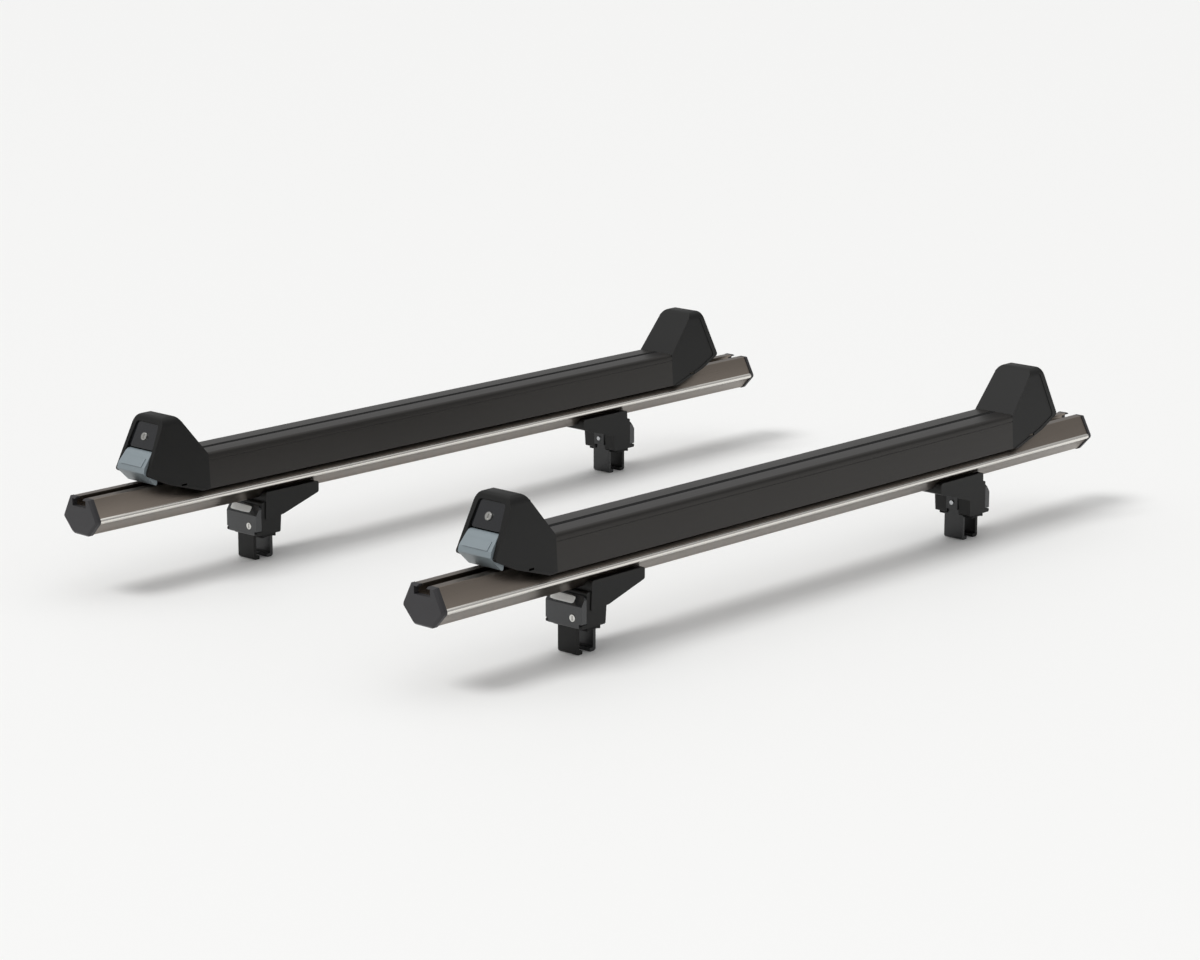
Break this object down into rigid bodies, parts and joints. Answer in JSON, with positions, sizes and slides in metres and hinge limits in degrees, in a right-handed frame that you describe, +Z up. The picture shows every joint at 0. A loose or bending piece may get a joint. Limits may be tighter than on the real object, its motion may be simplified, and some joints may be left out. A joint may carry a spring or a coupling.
{
  "type": "pair of roof cross bars",
  "caption": "Sliding roof cross bars with locking end hoods, release levers and clamp feet for raised roof rails.",
  "frame": {"origin": "centre of the pair in plan, at the level of the hooks' undersides", "axes": "+X to the front of the car, +Y along the bars to the car's left, +Z up"},
  "size_m": [0.8896, 1.64, 0.282],
  "materials": {
    "bar_aluminium": "satin anodised, natural",
    "slide_aluminium": "dark satin coat",
    "rubber": "matt",
    "glide_plastic": "smooth",
    "plated_steel": "zinc plated",
    "cap_plastic": "fine grain",
    "black_plastic": "fine grain",
    "gloss_panel": "polished",
    "grey_plastic": "fine grain",
    "key_metal": "nickel plated",
    "cover_plastic": "semi gloss",
    "coated_steel": "black coat"
  },
  "bodies": {
    "base": {"front_lower_bar": "bar_aluminium", "front_cap_right": "cap_plastic", "front_cap_left": "cap_plastic", "front_glides": "glide_plastic", "front_foot_bolts": "plated_steel", "front_right_foot": "black_plastic", "front_right_rail_pad": "rubber", "front_left_foot": "black_plastic", "front_left_rail_pad": "rubber", "rear_lower_bar": "bar_aluminium", "rear_cap_right": "cap_plastic", "rear_cap_left": "cap_plastic", "rear_glides": "glide_plastic", "rear_foot_bolts": "plated_steel", "rear_right_foot": "black_plastic", "rear_right_rail_pad": "rubber", "rear_left_foot": "black_plastic", "rear_left_rail_pad": "rubber"},
    "front_slide": {"front_slide_bar": "slide_aluminium", "front_slot_strip": "rubber", "front_lever_pins": "plated_steel", "front_right_hood": "black_plastic", "front_right_lock_panel": "gloss_panel", "front_left_hood": "black_plastic", "front_left_lock_panel": "gloss_panel"},
    "front_right_lever": {"front_right_lever": "grey_plastic"},
    "front_right_hood_lock": {"front_right_hood_lock": "key_metal"},
    "front_right_lock_shoe": {"front_right_lock_shoe": "rubber"},
    "front_right_foot_cover": {"front_right_foot_cover": "cover_plastic"},
    "front_right_foot_lock": {"front_right_foot_lock": "key_metal"},
    "front_right_clamp_bolt": {"front_right_clamp_bolt": "plated_steel"},
    "front_right_jaw": {"front_right_jaw": "coated_steel"},
    "front_left_lever": {"front_left_lever": "grey_plastic"},
    "front_left_hood_lock": {"front_left_hood_lock": "key_metal"},
    "front_left_lock_shoe": {"front_left_lock_shoe": "rubber"},
    "front_left_foot_cover": {"front_left_foot_cover": "cover_plastic"},
    "front_left_foot_lock": {"front_left_foot_lock": "key_metal"},
    "front_left_clamp_bolt": {"front_left_clamp_bolt": "plated_steel"},
    "front_left_jaw": {"front_left_jaw": "coated_steel"},
    "rear_slide": {"rear_slide_bar": "slide_aluminium", "rear_slot_strip": "rubber", "rear_lever_pins": "plated_steel", "rear_right_hood": "black_plastic", "rear_right_lock_panel": "gloss_panel", "rear_left_hood": "black_plastic", "rear_left_lock_panel": "gloss_panel"},
    "rear_right_lever": {"rear_right_lever": "grey_plastic"},
    "rear_right_hood_lock": {"rear_right_hood_lock": "key_metal"},
    "rear_right_lock_shoe": {"rear_right_lock_shoe": "rubber"},
    "rear_right_foot_cover": {"rear_right_foot_cover": "cover_plastic"},
    "rear_right_foot_lock": {"rear_right_foot_lock": "key_metal"},
    "rear_right_clamp_bolt": {"rear_right_clamp_bolt": "plated_steel"},
    "rear_right_jaw": {"rear_right_jaw": "coated_steel"},
    "rear_left_lever": {"rear_left_lever": "grey_plastic"},
    "rear_left_hood_lock": {"rear_left_hood_lock": "key_metal"},
    "rear_left_lock_shoe": {"rear_left_lock_shoe": "rubber"},
    "rear_left_foot_cover": {"rear_left_foot_cover": "cover_plastic"},
    "rear_left_foot_lock": {"rear_left_foot_lock": "key_metal"},
    "rear_left_clamp_bolt": {"rear_left_clamp_bolt": "plated_steel"},
    "rear_left_jaw": {"rear_left_jaw": "coated_steel"}
  },
  "joints": [
    {"name": "front_slide_out", "type": "slide", "parent": "base", "child": "front_slide", "axis": [0, 1, 0], "range_m": [-0.6, 0.6]},
    {"name": "front_right_lever_pull", "type": "hinge", "parent": "front_slide", "child": "front_right_lever", "pos_m": [0.4, -0.68652, 0.21721], "axis": [-1, 0, 0], "range_deg": [0, 30.3], "stiffness_Nm_per_rad": 0.5, "springref_deg": -17.19},
    {"name": "front_right_shoe_lift", "type": "slide", "parent": "front_slide", "child": "front_right_lock_shoe", "axis": [0, 0, 1], "range_m": [0, 0.006]},
    {"name": "front_right_hood_key_turn", "type": "hinge", "parent": "front_slide", "child": "front_right_hood_lock", "pos_m": [0.4, -0.68186, 0.24935], "axis": [0, 0.9111, -0.4122], "range_deg": [0, 90]},
    {"name": "front_right_cover_open", "type": "hinge", "parent": "base", "child": "front_right_foot_cover", "pos_m": [0.4, -0.5168, 0.0492], "axis": [1, 0, 0], "range_deg": [0, 95]},
    {"name": "front_right_foot_key_turn", "type": "hinge", "parent": "front_right_foot_cover", "child": "front_right_foot_lock", "pos_m": [0.419, -0.52, 0.062], "axis": [0, 1, 0], "range_deg": [0, 90]},
    {"name": "front_right_jaw_travel", "type": "slide", "parent": "base", "child": "front_right_jaw", "axis": [0, 1, 0], "range_m": [0, 0.01]},
    {"name": "front_right_clamp_turn", "type": "hinge", "parent": "base", "child": "front_right_clamp_bolt", "pos_m": [0.4, -0.52, 0.066], "axis": [0, -1, 0], "range_deg": [0, 2890]},
    {"name": "front_left_lever_pull", "type": "hinge", "parent": "front_slide", "child": "front_left_lever", "pos_m": [0.4, 0.68652, 0.21721], "axis": [1, 0, 0], "range_deg": [0, 30.3], "stiffness_Nm_per_rad": 0.5, "springref_deg": -17.19},
    {"name": "front_left_shoe_lift", "type": "slide", "parent": "front_slide", "child": "front_left_lock_shoe", "axis": [0, 0, 1], "range_m": [0, 0.006]},
    {"name": "front_left_hood_key_turn", "type": "hinge", "parent": "front_slide", "child": "front_left_hood_lock", "pos_m": [0.4, 0.68186, 0.24935], "axis": [0, -0.9111, -0.4122], "range_deg": [0, 90]},
    {"name": "front_left_cover_open", "type": "hinge", "parent": "base", "child": "front_left_foot_cover", "pos_m": [0.4, 0.5168, 0.0492], "axis": [-1, 0, 0], "range_deg": [0, 95]},
    {"name": "front_left_foot_key_turn", "type": "hinge", "parent": "front_left_foot_cover", "child": "front_left_foot_lock", "pos_m": [0.381, 0.52, 0.062], "axis": [0, -1, 0], "range_deg": [0, 90]},
    {"name": "front_left_jaw_travel", "type": "slide", "parent": "base", "child": "front_left_jaw", "axis": [0, -1, 0], "range_m": [0, 0.01]},
    {"name": "front_left_clamp_turn", "type": "hinge", "parent": "base", "child": "front_left_clamp_bolt", "pos_m": [0.4, 0.52, 0.066], "axis": [0, 1, 0], "range_deg": [0, 2890]},
    {"name": "rear_slide_out", "type": "slide", "parent": "base", "child": "rear_slide", "axis": [0, 1, 0], "range_m": [-0.6, 0.6]},
    {"name": "rear_right_lever_pull", "type": "hinge", "parent": "rear_slide", "child": "rear_right_lever", "pos_m": [-0.4, -0.68652, 0.21721], "axis": [-1, 0, 0], "range_deg": [0, 30.3], "stiffness_Nm_per_rad": 0.5, "springref_deg": -17.19},
    {"name": "rear_right_shoe_lift", "type": "slide", "parent": "rear_slide", "child": "rear_right_lock_shoe", "axis": [0, 0, 1], "range_m": [0, 0.006]},
    {"name": "rear_right_hood_key_turn", "type": "hinge", "parent": "rear_slide", "child": "rear_right_hood_lock", "pos_m": [-0.4, -0.68186, 0.24935], "axis": [0, 0.9111, -0.4122], "range_deg": [0, 90]},
    {"name": "rear_right_cover_open", "type": "hinge", "parent": "base", "child": "rear_right_foot_cover", "pos_m": [-0.4, -0.4718, 0.0492], "axis": [1, 0, 0], "range_deg": [0, 95]},
    {"name": "rear_right_foot_key_turn", "type": "hinge", "parent": "rear_right_foot_cover", "child": "rear_right_foot_lock", "pos_m": [-0.381, -0.475, 0.062], "axis": [0, 1, 0], "range_deg": [0, 90]},
    {"name": "rear_right_jaw_travel", "type": "slide", "parent": "base", "child": "rear_right_jaw", "axis": [0, 1, 0], "range_m": [0, 0.01]},
    {"name": "rear_right_clamp_turn", "type": "hinge", "parent": "base", "child": "rear_right_clamp_bolt", "pos_m": [-0.4, -0.475, 0.066], "axis": [0, -1, 0], "range_deg": [0, 2890]},
    {"name": "rear_left_lever_pull", "type": "hinge", "parent": "rear_slide", "child": "rear_left_lever", "pos_m": [-0.4, 0.68652, 0.21721], "axis": [1, 0, 0], "range_deg": [0, 30.3], "stiffness_Nm_per_rad": 0.5, "springref_deg": -17.19},
    {"name": "rear_left_shoe_lift", "type": "slide", "parent": "rear_slide", "child": "rear_left_lock_shoe", "axis": [0, 0, 1], "range_m": [0, 0.006]},
    {"name": "rear_left_hood_key_turn", "type": "hinge", "parent": "rear_slide", "child": "rear_left_hood_lock", "pos_m": [-0.4, 0.68186, 0.24935], "axis": [0, -0.9111, -0.4122], "range_deg": [0, 90]},
    {"name": "rear_left_cover_open", "type": "hinge", "parent": "base", "child": "rear_left_foot_cover", "pos_m": [-0.4, 0.4718, 0.0492], "axis": [-1, 0, 0], "range_deg": [0, 95]},
    {"name": "rear_left_foot_key_turn", "type": "hinge", "parent": "rear_left_foot_cover", "child": "rear_left_foot_lock", "pos_m": [-0.419, 0.475, 0.062], "axis": [0, -1, 0], "range_deg": [0, 90]},
    {"name": "rear_left_jaw_travel", "type": "slide", "parent": "base", "child": "rear_left_jaw", "axis": [0, -1, 0], "range_m": [0, 0.01]},
    {"name": "rear_left_clamp_turn", "type": "hinge", "parent": "base", "child": "rear_left_clamp_bolt", "pos_m": [-0.4, 0.475, 0.066], "axis": [0, 1, 0], "range_deg": [0, 2890]}
  ],
  "couplings": [
    {"joint": "front_right_lever_pull", "follows": "front_right_shoe_lift", "rad_per_m": 87.266},
    {"joint": "front_right_clamp_turn", "follows": "front_right_jaw_travel", "rad_per_m": 5026.5},
    {"joint": "front_left_lever_pull", "follows": "front_left_shoe_lift", "rad_per_m": 87.266},
    {"joint": "front_left_clamp_turn", "follows": "front_left_jaw_travel", "rad_per_m": 5026.5},
    {"joint": "rear_right_lever_pull", "follows": "rear_right_shoe_lift", "rad_per_m": 87.266},
    {"joint": "rear_right_clamp_turn", "follows": "rear_right_jaw_travel", "rad_per_m": 5026.5},
    {"joint": "rear_left_lever_pull", "follows": "rear_left_shoe_lift", "rad_per_m": 87.266},
    {"joint": "rear_left_clamp_turn", "follows": "rear_left_jaw_travel", "rad_per_m": 5026.5}
  ]
}
